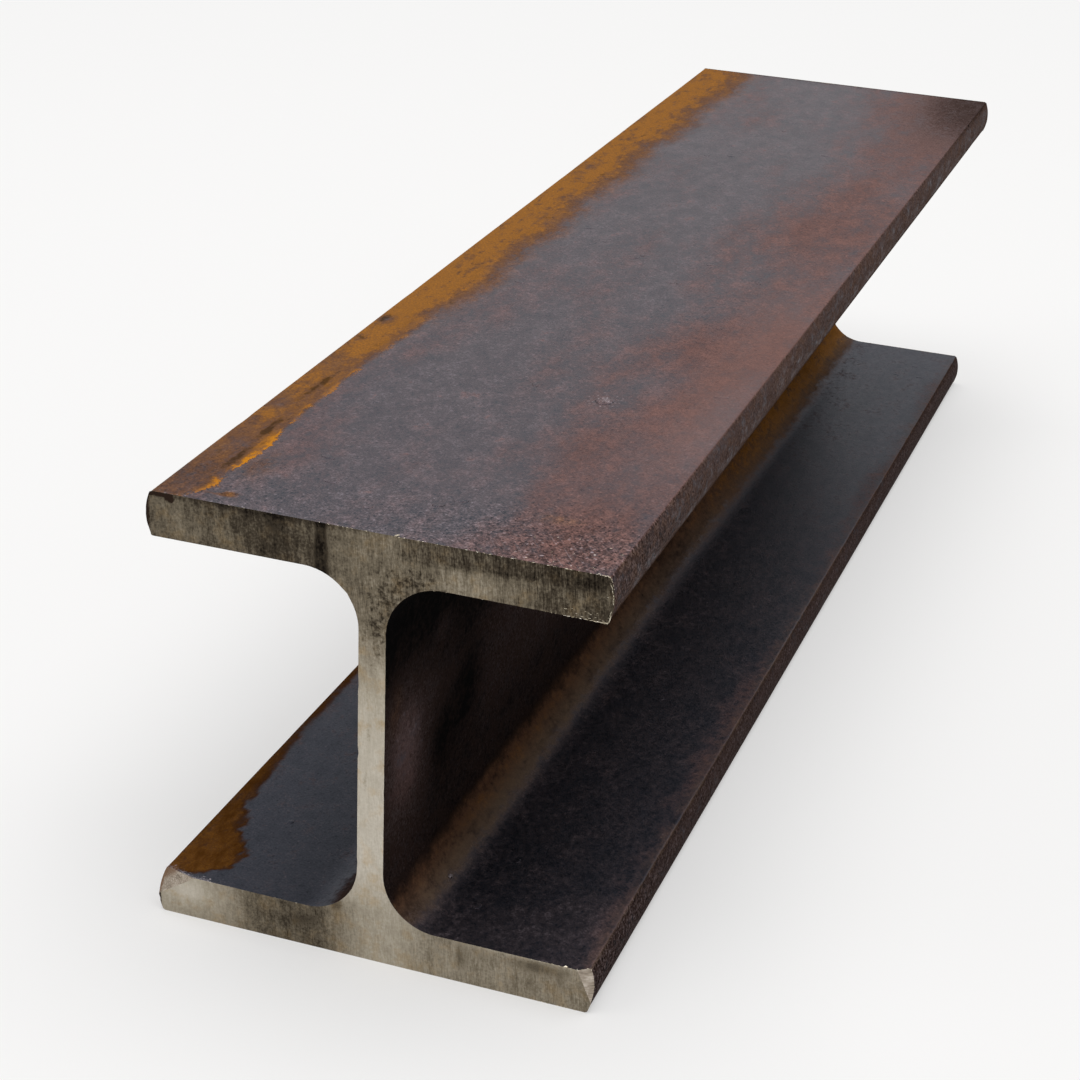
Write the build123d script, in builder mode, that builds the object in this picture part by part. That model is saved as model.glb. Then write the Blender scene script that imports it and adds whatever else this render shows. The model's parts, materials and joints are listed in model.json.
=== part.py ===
# Hot-rolled wide-flange steel beam: a short length of stock, sawn square at both ends.
# Millimetres. +Z is up, +Y runs along the beam, and the origin is under its middle,
# on the outer face of the bottom flange.

import os

from build123d import *

# Rolled section
section_height = 100.0
flange_width = 100.0  # over the crowns of the flange tips
flange_thickness = 10.0
web_thickness = 6.0
root_radius = 12.0  # fillet between web and flange
tip_crown = 1.1  # how far the middle of a flange tip bulges past its corners
tip_corner_radius = 0.8  # rolled corners of the flange tips

# Cut length
beam_length = 400.0

# Upper corners of the bottom flange at the near end, ground off by hand after sawing.
# A flat facet is set by where it meets the three edges that leave its corner:
# in along the sawn face, back along the beam and down the tip.
right_facet_in = 3.6
right_facet_back = 2.6
right_facet_down = 8.2
left_facet_in = 9.0
left_facet_back = 2.4
left_facet_down = 6.0

# Worked out from the sizes above, with the section drawn about its own centre
half_width = flange_width / 2
half_height = section_height / 2
half_web = web_thickness / 2
half_length = beam_length / 2
tip_corner_x = half_width - tip_crown
tip_middle_z = half_height - flange_thickness / 2
flange_inner_z = half_height - flange_thickness


def facet_plane(corner, along_face, along_beam, down_tip):
    # Plane through the three points where a ground facet meets the edges of its corner
    face_point = corner + along_face
    beam_point = corner + along_beam
    tip_point = corner + down_tip
    middle = (face_point + beam_point + tip_point) / 3
    across = beam_point - face_point
    outward = across.cross(tip_point - face_point)
    if outward.dot(corner - middle) < 0:
        outward = -outward
    return Plane(origin=middle, x_dir=across, z_dir=outward)


section_plane = Plane(origin=(0, 0, half_height), x_dir=(1, 0, 0), z_dir=(0, -1, 0))

with BuildPart() as h_beam:
    # A quarter of the section, from the middle of the top face round to the middle of the web
    with BuildSketch(section_plane) as section:
        with BuildLine():
            outer_face = Line((0, half_height), (tip_corner_x, half_height))
            tip = ThreePointArc(outer_face @ 1, (half_width, tip_middle_z), (tip_corner_x, flange_inner_z))
            Polyline(tip @ 1, (half_web, flange_inner_z), (half_web, 0), (0, 0), (0, half_height))
        make_face()
        tip_corners = section.vertices().group_by(Axis.X)[-1]
        fillet(tip_corners, radius=tip_corner_radius)
        root_corner = section.vertices().sort_by_distance((half_web, flange_inner_z))[0]
        fillet(root_corner, radius=root_radius)
        mirror(about=Plane.YZ)
        mirror(about=Plane.XZ)
    extrude(amount=half_length, both=True)

    # Hand-ground facets on the two near corners of the bottom flange
    for side, facet_in, facet_back, facet_down in (
        (1, right_facet_in, right_facet_back, right_facet_down),
        (-1, left_facet_in, left_facet_back, left_facet_down),
    ):
        facet = facet_plane(
            Vector(side * half_width, -half_length, flange_thickness),
            along_face=Vector(-side * facet_in, 0, 0),
            along_beam=Vector(0, facet_back, 0),
            down_tip=Vector(0, 0, -facet_down),
        )
        with BuildSketch(facet):
            Circle(max(facet_in, facet_back, facet_down))
        extrude(amount=facet_back, mode=Mode.SUBTRACT)

h_beam.part.label = "h_beam"

os.makedirs("parts", exist_ok=True)
export_step(h_beam.part, "parts/h_beam.step")
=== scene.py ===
import json
import math

import bmesh
import bpy
import numpy as np
from mathutils import Matrix, Vector

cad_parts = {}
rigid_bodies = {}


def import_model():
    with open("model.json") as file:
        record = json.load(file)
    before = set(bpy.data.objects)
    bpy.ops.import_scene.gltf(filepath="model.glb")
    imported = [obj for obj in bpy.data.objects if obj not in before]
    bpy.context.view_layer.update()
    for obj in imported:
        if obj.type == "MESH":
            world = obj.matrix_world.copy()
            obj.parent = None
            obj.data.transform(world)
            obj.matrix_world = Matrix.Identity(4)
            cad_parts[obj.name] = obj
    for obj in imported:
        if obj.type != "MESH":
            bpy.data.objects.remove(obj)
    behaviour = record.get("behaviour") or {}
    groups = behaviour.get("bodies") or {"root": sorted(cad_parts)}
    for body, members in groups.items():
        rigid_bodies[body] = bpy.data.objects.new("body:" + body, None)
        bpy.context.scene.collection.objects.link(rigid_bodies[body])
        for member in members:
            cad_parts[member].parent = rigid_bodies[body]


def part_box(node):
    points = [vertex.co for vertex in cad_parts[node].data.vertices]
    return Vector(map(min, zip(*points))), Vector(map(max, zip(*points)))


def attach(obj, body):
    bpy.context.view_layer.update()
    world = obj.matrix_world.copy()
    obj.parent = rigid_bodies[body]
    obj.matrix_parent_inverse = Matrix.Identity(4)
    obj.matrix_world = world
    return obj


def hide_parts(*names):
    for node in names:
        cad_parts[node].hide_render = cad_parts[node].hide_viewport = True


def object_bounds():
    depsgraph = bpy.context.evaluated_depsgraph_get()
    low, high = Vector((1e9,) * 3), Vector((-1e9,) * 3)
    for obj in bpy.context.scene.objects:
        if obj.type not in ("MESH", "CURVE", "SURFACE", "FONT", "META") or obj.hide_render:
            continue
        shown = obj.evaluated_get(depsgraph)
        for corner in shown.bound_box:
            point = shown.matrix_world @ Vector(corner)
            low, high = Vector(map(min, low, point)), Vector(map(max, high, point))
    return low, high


# Sawn length of hot-rolled H-section lying on its bottom flange.
# Lengths in the dictionaries are millimetres unless a note says otherwise; meshes are metres.
for leftover in list(bpy.data.objects):
    bpy.data.objects.remove(leftover)
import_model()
cadLow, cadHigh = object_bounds()
mm = 0.001

# settings that many nodes share
times = {"operation": "MULTIPLY"}
timesPlus = {"operation": "MULTIPLY_ADD"}
minus = {"operation": "SUBTRACT"}
over = {"operation": "DIVIDE"}
larger = {"operation": "MAXIMUM"}
layer = {"data_type": "RGBA"}
soft = {"interpolation_type": "SMOOTHSTEP"}
euler = {"rotation_type": "EULER_XYZ"}
scalar = {"data_type": "FLOAT"}
vector = {"data_type": "FLOAT_VECTOR"}


def linearColor(hexCode, alpha=1.0):
    # sRGB hex to the linear values that sockets take
    parts = [int(hexCode[i:i + 2], 16) / 255 for i in (1, 3, 5)]
    linear = [p / 12.92 if p <= 0.04045 else ((p + 0.055) / 1.055) ** 2.4 for p in parts]
    return (*linear, alpha)


def addNode(tree, kind, settings=None, sockets=None, out=0):
    # one node with its settings, then a link or a plain value for each socket; returns one output
    node = tree.nodes.new(kind)
    for name, value in (settings or {}).items():
        if name == "stops":  # colour ramp: place and hex colour of each stop
            stops = node.color_ramp.elements
            stops.remove(stops[1])
            stops[0].position = value[0][0]
            stops[0].color = linearColor(value[0][1])
            for place, shade in value[1:]:
                stops.new(place).color = linearColor(shade)
        else:
            setattr(node, name, value)
    for key, value in (sockets or {}).items():
        if isinstance(value, bpy.types.NodeSocket):
            tree.links.new(value, node.inputs[key])
        else:
            node.inputs[key].default_value = value
    return node.outputs[out] if len(node.outputs) else node


def startTree(name, values):
    # geometry in and out, then one named input for each value
    kinds = {float: "Float", int: "Int", tuple: "Vector", bpy.types.Material: "Material"}
    tree = bpy.data.node_groups.new(name, "GeometryNodeTree")
    tree.interface.new_socket("Geometry", in_out="INPUT", socket_type="NodeSocketGeometry")
    tree.interface.new_socket("Geometry", in_out="OUTPUT", socket_type="NodeSocketGeometry")
    ids = {}
    for label, value in values.items():
        socketType = "NodeSocket" + kinds[type(value)]
        ids[label] = tree.interface.new_socket(label, in_out="INPUT", socket_type=socketType).identifier
    return tree, ids, tree.nodes.new("NodeGroupInput").outputs


def runTree(piece, build, values):
    # sets the inputs by identifier, evaluates once and keeps the result as a plain mesh
    tree, ids = build(values)
    modifier = piece.modifiers.new(tree.name, "NODES")
    modifier.node_group = tree
    for label, value in values.items():
        modifier[ids[label]] = value
    graph = bpy.context.evaluated_depsgraph_get()
    evaluated = piece.evaluated_get(graph)
    made = bpy.data.meshes.new_from_object(evaluated, preserve_all_data_layers=True, depsgraph=graph)
    piece.modifiers.remove(modifier)
    piece.data = made
    return made


def newPiece(name, content):
    piece = bpy.data.objects.new(name, content)
    bpy.context.scene.collection.objects.link(piece)
    return piece


def inMetres(sizes):
    return tuple(size * mm for size in sizes)


# Section sizes, with the outer ones taken from the frame
boxLow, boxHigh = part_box("h_beam")
section = {
    "flangeWidth": (boxHigh.x - boxLow.x) / mm,
    "height": (boxHigh.z - boxLow.z) / mm,
    "length": (boxHigh.y - boxLow.y) / mm,
    "flangeThickness": 10.0,
    "webThickness": 6.0,
    "rootRadius": 12.0,
    "tipCrown": 1.1,
    "tipCorner": 0.8,
}
steps = {  # mesh divisions
    "corner": 4,
    "crown": 11,
    "flangeOuter": 36,
    "acrossRoot": 30,
    "fillet": 14,
    "web": 40,
    "length": 130,
    "tipCrowding": 1.4,  # power; 1 is even
    "endCrowding": 0.85,  # 0 is even
    "weld": 1e-7,  # metres; points of the section closer than this are one
    "seam": 1e-6,  # the same for the caps and the skin
}


def tipRows():
    # half widths and heights up one flange tip: rolled corner, crown, rolled corner
    t, crown, r = section["flangeThickness"], section["tipCrown"], section["tipCorner"]
    crownRadius = ((t / 2) ** 2 + crown ** 2) / (2 * crown)
    crownX = section["flangeWidth"] / 2 - crownRadius
    cornerX = crownX + math.sqrt((crownRadius - r) ** 2 - (t / 2 - r) ** 2)
    meet = math.atan2(r - t / 2, cornerX - crownX)
    turns = np.linspace(-math.pi / 2, meet, steps["corner"] + 1)
    corner = [(cornerX + r * math.cos(a), r + r * math.sin(a)) for a in turns]
    turns = np.linspace(meet, -meet, steps["crown"] + 1)
    arc = [(crownX + crownRadius * math.cos(a), t / 2 + crownRadius * math.sin(a)) for a in turns]
    return corner[:-1] + arc + [(x, t - z) for x, z in corner[-2::-1]]


def sectionMesh():
    # flat section in the XZ plane, made of quad blocks that share their edge points
    halfWeb, radius = section["webThickness"] / 2, section["rootRadius"]
    rootX = halfWeb + radius
    across = np.linspace(-1, 1, steps["acrossRoot"] + 1)
    outward = 1 - (1 - np.linspace(0, 1, steps["flangeOuter"] + 1)) ** steps["tipCrowding"]
    flange = []
    for half, z in tipRows():
        side = rootX + outward[1:] * (half - rootX)
        flange.append([(x, z) for x in np.concatenate([-side[::-1], across * rootX, side])])
    root = []
    for a in np.linspace(0, math.pi / 2, steps["fillet"] + 1):
        half = rootX - radius * math.sin(a)
        z = section["flangeThickness"] + radius * (1 - math.cos(a))
        root.append([(x * half, z) for x in across])
    webLow = section["flangeThickness"] + radius
    webRows = np.linspace(webLow, section["height"] - webLow, steps["web"] + 1)
    web = [[(x * halfWeb, z) for x in across] for z in webRows]
    blocks = [flange, root, web]
    for block in (root, flange):
        blocks.append([[(x, section["height"] - z) for x, z in row] for row in block[::-1]])
    bm = bmesh.new()
    for block in blocks:
        grid = [[bm.verts.new((x * mm, 0, z * mm)) for x, z in row] for row in block]
        for lower, upper in zip(grid, grid[1:]):
            for i in range(len(lower) - 1):
                bm.faces.new((lower[i], lower[i + 1], upper[i + 1], upper[i]))
    bmesh.ops.remove_doubles(bm, verts=bm.verts, dist=steps["weld"])
    mesh = bpy.data.meshes.new("section")
    bm.to_mesh(mesh)
    bm.free()
    return mesh


def sweepTree(values):
    tree, ids, given = startTree("rolledSweep", values)
    half = addNode(tree, "ShaderNodeMath", over, {0: given["Length"], 1: 2.0})
    # stations along the length, closer together near the sawn ends
    line = addNode(tree, "GeometryNodeCurvePrimitiveLine", {}, {"Start": (0, -1, 0), "End": (0, 1, 0)})
    line = addNode(tree, "GeometryNodeResampleCurve", {}, {"Curve": line, "Count": given["Stations"]})
    at = addNode(tree, "ShaderNodeSeparateXYZ", {}, {0: addNode(tree, "GeometryNodeInputPosition")}, out=1)
    eased = addNode(tree, "ShaderNodeMath", times, {0: at, 1: math.pi / 2})
    eased = addNode(tree, "ShaderNodeMath", {"operation": "SINE"}, {0: eased})
    graded = addNode(tree, "ShaderNodeMix", {}, {"Factor": given["End Crowding"], 2: at, 3: eased})
    graded = addNode(tree, "ShaderNodeMath", times, {0: graded, 1: half})
    station = addNode(tree, "ShaderNodeCombineXYZ", {}, {1: graded})
    line = addNode(tree, "GeometryNodeSetPosition", {}, {"Geometry": line, "Position": station})
    # the section's rim, turned into the sweep's own axes
    faces = addNode(tree, "GeometryNodeInputMeshEdgeNeighbors")
    rim = addNode(tree, "FunctionNodeCompare", {"data_type": "INT", "operation": "EQUAL"}, {2: faces, 3: 1})
    rim = addNode(tree, "GeometryNodeMeshToCurve", {}, {"Mesh": given["Geometry"], "Selection": rim})
    part = addNode(tree, "ShaderNodeSeparateXYZ", {}, {0: addNode(tree, "GeometryNodeInputPosition")})
    down = addNode(tree, "ShaderNodeMath", times, {0: part.node.outputs[2], 1: -1.0})
    turned = addNode(tree, "ShaderNodeCombineXYZ", {}, {0: part, 1: down})
    rim = addNode(tree, "GeometryNodeSetPosition", {}, {"Geometry": rim, "Position": turned})
    skin = addNode(tree, "GeometryNodeCurveToMesh", {}, {"Curve": line, "Profile Curve": rim})
    whole = addNode(tree, "GeometryNodeJoinGeometry")
    tree.links.new(skin, whole.node.inputs[0])
    marked = {**scalar, "domain": "FACE"}
    for end in (-1.0, 1.0):  # near cap, far cap
        away = addNode(tree, "ShaderNodeMath", times, {0: half, 1: end})
        away = addNode(tree, "ShaderNodeCombineXYZ", {}, {1: away})
        cap = addNode(tree, "GeometryNodeTransform", {}, {"Geometry": given["Geometry"], "Translation": away})
        cap = addNode(tree, "GeometryNodeStoreNamedAttribute", marked, {0: cap, "Name": "sawn", "Value": 1.0})
        if end > 0:
            cap = addNode(tree, "GeometryNodeFlipFaces", {}, {"Mesh": cap})
        tree.links.new(cap, whole.node.inputs[0])
    whole = addNode(tree, "GeometryNodeMergeByDistance", {}, {"Geometry": whole, "Distance": given["Seam"]})
    addNode(tree, "NodeGroupOutput", {}, {0: whole})
    return tree, ids


beam = newPiece("hBeam", sectionMesh())
mesh = runTree(beam, sweepTree, {
    "Length": section["length"] * mm,
    "Stations": steps["length"] + 1,
    "End Crowding": steps["endCrowding"],
    "Seam": steps["seam"],
})
print("rolled section swept:", len(mesh.polygons), "quads")

# Upper corners of the bottom flange, ground off by hand at the near end
groundCorners = [  # side, then how far the facet reaches in, back and down from the corner
    {"side": 1, "in": 3.6, "back": 2.6, "down": 8.2},
    {"side": -1, "in": 9.0, "back": 2.4, "down": 6.0},
]


def grindCorners(mesh):
    bm = bmesh.new()
    bm.from_mesh(mesh)
    ground = bm.faces.layers.float.new("ground")
    for facet in groundCorners:
        side = facet["side"]
        halfWidth, halfLength = section["flangeWidth"] / 2, section["length"] / 2
        corner = Vector((side * halfWidth, -halfLength, section["flangeThickness"]))
        legs = [(-side * facet["in"], 0, 0), (0, facet["back"], 0), (0, 0, -facet["down"])]
        a, b, c = [(corner + Vector(leg)) * mm for leg in legs]
        outward = (b - a).cross(c - a).normalized()
        if outward.dot(corner * mm - a) < 0:
            outward.negate()
        reach = 1.5 * max(facet["in"], facet["down"]) * mm  # past the whole facet
        near = [f for f in bm.faces if (f.calc_center_median() - corner * mm).length < reach]
        # dictionaries keep the order the same in every run
        edges = dict.fromkeys(e for f in near for e in f.edges)
        verts = dict.fromkeys(v for f in near for v in f.verts)
        geom = [*near, *edges, *verts]
        plane = {"plane_co": a, "plane_no": outward, "dist": steps["weld"]}
        cut = bmesh.ops.bisect_plane(bm, geom=geom, clear_outer=True, **plane)
        rim = [e for e in cut["geom_cut"] if isinstance(e, bmesh.types.BMEdge)]
        for face in bmesh.ops.edgeloop_fill(bm, edges=rim)["faces"]:
            face.normal_update()
            if face.normal.dot(outward) < 0:
                face.normal_flip()
            face[ground] = 1.0
    bm.to_mesh(mesh)
    bm.free()


grindCorners(mesh)
print("two corners ground:", len(mesh.polygons), "faces")


def fade(value, start, end):
    # 0 before start, 1 past end, smooth between
    t = np.clip((value - start) / (end - start), 0, 1)
    return t * t * (3 - 2 * t)


def blot(u, v, centre, size):
    # soft oval mark
    return np.exp(-((u - centre[0]) / size[0]) ** 2 - ((v - centre[1]) / size[1]) ** 2)


def blots(u, v, marks):
    # several soft marks: centre, half sizes and amount of each
    return sum(amount * blot(u, v, centre, size) for centre, size, amount in marks)


def waver(along, waves):
    # a wandering edge: amount, radians per millimetre and start of each wave
    return sum(amount * np.sin(rate * along + start) for amount, rate, start in waves)


# Where the skin is rusted, bloomed and sooty, where shade, sheen and highlights are painted on it, and how
# bright the saw left the ends.
# Pairs of lists are places in millimetres, then the value at each; marks are centre, half sizes and amount.
topRust = {  # left edge of the top flange, by place along the beam
    "limit": (  # how far across the rust reaches
        [-200, -197, -193, -183, -174, -167, -157, -145, -130, -105, -90, -76, -50, 28, 100, 163, 200],
        [-42, -41, -38.4, -38.8, -37.7, -37.8, -38.3, -38.5, -38.8, -38.2, -37.6, -39.2, -37.5, -37.6,
         -36.8, -35.6, -35.4]),
    "wander": [(1.1, 0.11, 1.0), (0.8, 0.29, 2.2)],  # of the limit, past the front third
    "streak": ([-200, -192, -178, -160, -110, -60, 200], [0.6, 0.9, 1.0, 0.9, 0.6, 0.3, 0.15]),
    "band": ([-200, -185, -172, -150, -95, -40, 200], [0.25, 0.29, 0.38, 0.46, 0.54, 0.50, 0.42]),
    "edgeWidth": ([-200, -120, -60, 200], [1.2, 2.4, 5.0, 7.5]),
    "edgeSpan": 40.0,  # across the limit, where the streak is worked out
    "patches": [  # more or less rust inside the band
        ((-44.3, -76.3), (2.8, 5.0), 0.34),
        ((-43.2, -105.4), (3.0, 5.5), 0.30),
        ((-43.1, -95.8), (2.6, 3.6), 0.16),
        ((-45.5, -134.7), (2.4, 4.5), 0.22),
        ((-45.4, -152.5), (2.2, 4.0), 0.22),
        ((-39.2, -166.5), (1.4, 4.5), 0.45),
        ((-46.6, -84.1), (2.0, 3.0), -0.45),
        ((-45.5, -145.8), (1.8, 2.6), -0.34),
        ((-44.0, -168.8), (3.0, 4.5), -0.20),
        ((-44.6, -118.3), (2.2, 4.0), -0.16),
        ((-46.0, -30.0), (2.4, 9.0), -0.16),
        ((-41.5, 8.0), (3.0, 12.0), -0.12),
        ((-45.0, 62.0), (2.6, 16.0), -0.14),
    ],
    "spots": [  # outside it
        ((-33.5, -194.6), (1.6, 1.0), 0.5),
        ((-36.0, -195.5), (4.0, 0.8), 0.22),
        ((31.0, -179.0), (6.0, 2.5), 0.2),
        ((-34.5, -179.0), (4.0, 9.0), 0.2),
    ],
    "fallen": [  # dark gaps behind the bright streak
        ((-42.8, -134.0), (1.3, 9.0), 1.0),
        ((-41.7, -158.0), (1.4, 6.0), 1.0),
        ((-41.0, -176.0), (1.2, 10.0), 1.0),
        ((-47.0, -84.1), (1.3, 3.0), 1.0),
    ],
}
lowerRust = {  # bottom flange: the patch on its left, then the root on its right
    "limit": ([-200, -195, -190, -185, -178, -168, -134, 0, 200],
              [-40, -37, -35.0, -37, -41, -44.6, -46.8, -47.5, -47]),
    "front": ([-50, -45, -41, -37, -34], [-200.5, -198.6, -196.8, -194.5, -190]),  # stops short of the cut
    "amount": ([-200, -170, -130, 200], [0.72, 0.64, 0.42, 0.36]),
    "ragged": [(0.9, 0.8, 0.5), (0.6, -1.9, 2.0), (0.5, 3.3, 4.1)],
    "root": ([-200, -190, -150, -60, -10, 50, 100, 200], [0.19, 0.27, 0.40, 0.32, 0.23, 0.44, 0.70, 0.74]),
    "rootMiddle": 6.3,  # across
    "rootReach": (2.8, 5.0),  # towards the web, towards the tip
}
bloomClouds = {
    "wander": [(4.0, 0.038, 0.6), (2.5, 0.091, 2.0)],
    "marks": [
        ((27, -74), (14, 24), 0.2),
        ((38.7, -176), (10, 18), 0.2),
        ((30, 43), (12, 34), 0.2),
        ((40, 170), (14, 40), 0.3),
        ((-10.5, -127), (18, 30), -0.16),
        ((-3.6, 82), (25, 60), -0.1),
    ],
}
webMarks = {  # right face of the web near the cut: place along, place up
    # a darker band of painted shade on the web's right face
    "soot": [((-153, 44), (9, 12), 0.3), ((-168, 38), (8, 9), 0.3)],
    # painted light: these marks take painted shade off the web near the cut end, where light falls in from
    # the front
    "rubbed": [((-188, 46), (12, 22), 0.40), ((-168, 66), (7, 4), 0.22)],
    "rust": [((-194, 58), (5, 8), 0.14)],
}
sawnTone = {  # brightness across each flange and up the web, as the saw left them
    "top": ([-50, -42, -36, -20, -14, -6, 4, 12, 30, 40, 50],
            [0.36, 0.35, 0.28, 0.23, 0.29, 0.40, 0.43, 0.38, 0.31, 0.28, 0.25]),
    "web": ([10, 25, 40, 60, 70, 78, 90], [0.75, 0.89, 0.87, 0.79, 0.64, 0.46, 0.38]),
    "bottom": ([-50, -40, -32, -26, -12, -5, 0, 6, 14, 30, 50],
               [0.66, 0.64, 0.58, 0.34, 0.32, 0.56, 0.70, 0.71, 0.56, 0.51, 0.51]),
}
sawnMarks = {  # place across, place up
    "rubbed": [((-36, 93), (8, 2.5), 0.08), ((-20, 95), (3, 6), -0.06),
               ((17.7, 2.6), (1.8, 3), 0.06), ((29.1, 4), (1.6, 4), 0.1)],
    "ground": [((-42.5, 6.5), (5.5, 3.2), 0.24)],  # rubbed by the grinding disc
    "stain": [
        ((-21.7, 97.5), (2.5, 2.5), 0.16),
        ((-16, 6), (5, 3), 0.16),
        ((-7.5, 12), (1.6, 2.2), 0.26),
        ((15.5, 7.0), (1.4, 4.0), 0.1),
        ((20.6, 6.4), (1.2, 4.6), 0.2),
        ((25.2, 7.8), (2.4, 2.0), 0.12),
        ((38.0, 8.2), (7.0, 2.0), 0.2),
        ((43.0, 5.6), (1.0, 3.2), 0.1),
        ((-0.4, 55), (0.7, 8), 0.13),
        ((-1.2, 44), (0.7, 6), 0.13),
        ((-3.5, 13), (1.2, 1.6), 0.14),
    ],
    "bar": {"place": -11.1, "width": 1.2, "flare": 0.5, "amount": 0.36},  # dark bar under the top edge
    "speckle": [((2, 80), (6, 10), 0.34), ((10, 90), (9, 4), 0.36), ((40, 94), (12, 8), 0.12)],
    "crusted": [((-47.0, 99.4), (1.6, 0.5), 2.0), ((-44.4, 99.0), (0.8, 0.9), 2.0)],
    "farShift": 4.0,  # the far end's marks lie this far across from a plain turn
}
wearMarks = {
    # painted highlight on the blister; the scraped front corner is real wear
    "top": [((18.9, -113.3), (2.6, 3.2), 0.4), ((38, -193), (13, 8), 0.22)],  # blister, scraped front corner
    # painted highlight: a pale dot on the bead
    "beadHighlight": [((10, -179), (1.2, 1.2), 0.6)],
    "crazed": [((40, -192), (26, 15), 0.9)],
    "specks": [((40, -194), (9, 6), 0.065)],
    "rimSpecks": [((48.4, 94), (0.7, 3.4), 0.12), ((44.5, 91.2), (2.8, 0.8), 0.6)],  # place across, place up
}


def readFaces(mesh):
    # places in millimetres, and how far each point belongs to each kind of face
    count = len(mesh.vertices)
    points = np.empty(count * 3)
    normals = np.empty(count * 3)
    mesh.vertices.foreach_get("co", points)
    mesh.vertices.foreach_get("normal", normals)
    x, y, z = points.reshape(-1, 3).T / mm
    nx, nz = normals.reshape(-1, 3)[:, ::2].T
    upward, downward, sideways = fade(nz, 0.2, 0.7), fade(-nz, 0.2, 0.7), np.abs(nx)
    return x, y, z, {
        "top": upward * (z > 90),
        "shelf": upward * (z < 30),  # upper face of the bottom flange and its roots
        "tip": fade(sideways, 0.3, 0.8) * (np.abs(x) > 45),
        "web": fade(sideways, 0.2, 0.8) * (np.abs(x) < 16),
        "ceiling": downward * (z > 60),  # underside of the top flange and its roots
        "sole": downward * (z < 5),
        "hidden": np.maximum(fade(y, -150, -60) * fade(z, 26, 50), x < 0),  # parts of the web further back and up, and the left web: less shade is painted there
    }


def rustZones(x, y, z, face):
    top, shelf, tip, right = face["top"], face["shelf"], face["tip"], x > 0
    limit = np.interp(y, *topRust["limit"]) + fade(y, -80, -30) * waver(y, topRust["wander"])
    inside = limit - x
    band = fade(inside / np.interp(y, *topRust["edgeWidth"]), -0.6, 1.0)
    band += 0.6 * np.exp(-(np.minimum(inside, 0) / 7.0) ** 2) * fade(y, -110, -50)  # soft skirt further back
    amount = np.interp(y, *topRust["band"]) + blots(x, y, topRust["patches"])
    rust = top * (band * np.maximum(amount, 0) + blots(x, y, topRust["spots"]))

    ragged = waver(y + 0.7 * x, lowerRust["ragged"]) * fade(-y, 150, 180)
    patch = fade(np.interp(y, *lowerRust["limit"]) - x + ragged, -1.8, 2.0)
    patch *= fade(y - np.interp(x, *lowerRust["front"]) + 0.5 * ragged, -1.2, 1.2)
    rust += shelf * patch * np.interp(y, *lowerRust["amount"])
    fromRoot = x - lowerRust["rootMiddle"]
    root = np.exp(-(fromRoot / np.where(fromRoot < 0, *lowerRust["rootReach"])) ** 2)
    rust += shelf * right * (np.interp(y, *lowerRust["root"]) * root + 0.10 * fade(x, 43, 49))
    rust += shelf * ~right * 0.06 * np.exp(-((x + 8.5) / 3.0) ** 2)
    rust += tip * np.where(x < 0, 0.42, np.where(z > 50, 0.12, 0.05))
    rust += face["web"] * face["hidden"] * (0.11 + 0.05 * np.sin(0.045 * y + 0.09 * z))
    rust += face["web"] * right * blots(y, z, webMarks["rust"])
    rust += face["sole"] * 0.3 + face["ceiling"] * 0.12
    rust += 0.6 * fade(-x, 48.3, 49.8) * (y < -195) * (z < 11)  # left ground corner, browned at its outer end
    return {
        "rust": rust,
        "streak": top * np.interp(y, *topRust["streak"]),
        "rustEdge": 0.5 + top * inside / topRust["edgeSpan"],  # 0.5 on the limit
        "fallen": top * blots(x, y, topRust["fallen"]),
        "dusty": shelf * fade(x, 5, 10) * (1 - 0.6 * fade(y, -30, 60)),  # greyer away from the web
    }


def scaleZones(x, y, z, face):
    top, shelf, tip, web, right = face["top"], face["shelf"], face["tip"], face["web"], x > 0
    bloom = 0.22 + 0.36 * fade(x + waver(y, bloomClouds["wander"]), 0, 36) + 0.10 * fade(-x, 20, 36)
    bloom = top * (bloom + blots(x, y, bloomClouds["marks"]))
    bloom += tip * 0.45 + web * 0.55 + face["ceiling"] * 0.4 + face["sole"] * 0.4
    bloom += shelf * 0.4 * fade(np.abs(x), 40, 49)

    # soot and painted shade: 0.5 is burnt brown all over, 1 is black. Shade is painted on the web, under the
    # top flange, on the tips and on the channel floor
    soot = web * (0.64 - 0.34 * face["hidden"]) + face["ceiling"] * 0.6
    # painted shade on the flange tips, a little more on the lower right one
    soot += tip * (0.36 + 0.1 * right * (z < 50))
    # painted shade: the web darker up under the top flange and down near the bottom root
    soot += web * (0.36 * fade(z, 50, 72) * (1 - 0.8 * face["hidden"]) + 0.12 * fade(-z, -38, -24))
    # a band of painted shade on the web's right face, and less of it near the cut end where light falls in
    soot += web * right * (blots(y, z, webMarks["soot"]) - blots(y, z, webMarks["rubbed"]))
    # painted shade on the channel floor, more along the foot of the right root
    soot += shelf * (0.06 + 0.07 * right * np.exp(-((x - 15.5) / 4.0) ** 2))
    soot += top * 0.58 * blot(x, y, (48, 205), (22, 70))  # far right corner

    deep = shelf * (0.3 + 0.32 * ~right + 0.25 * fade(y, -60, 150))  # painted shade: the oxide in the channels darker, most in the left one and towards the far end
    # less painted shade at the foot of the right root
    deep -= shelf * right * 0.22 * np.exp(-((x - 9.5) / 4.5) ** 2)
    deep -= shelf * right * 0.2 * fade(-191 + 0.676 * (x - 16) - y, -2, 2)  # painted light: the front of the right shelf paler, where light falls in front of the web
    # also a darker patch on the top near the front left
    deep += top * 0.22 * blot(x, y, (-44, -191), (6, 10))
    haze = top * fade(x, 26, 44) * fade(y, -170, -120) * fade(-y, -20, 60)  # painted sheen: the right side of the top paler, where light glances off it
    return {"bloom": bloom, "soot": soot, "deep": deep, "haze": haze}


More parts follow.
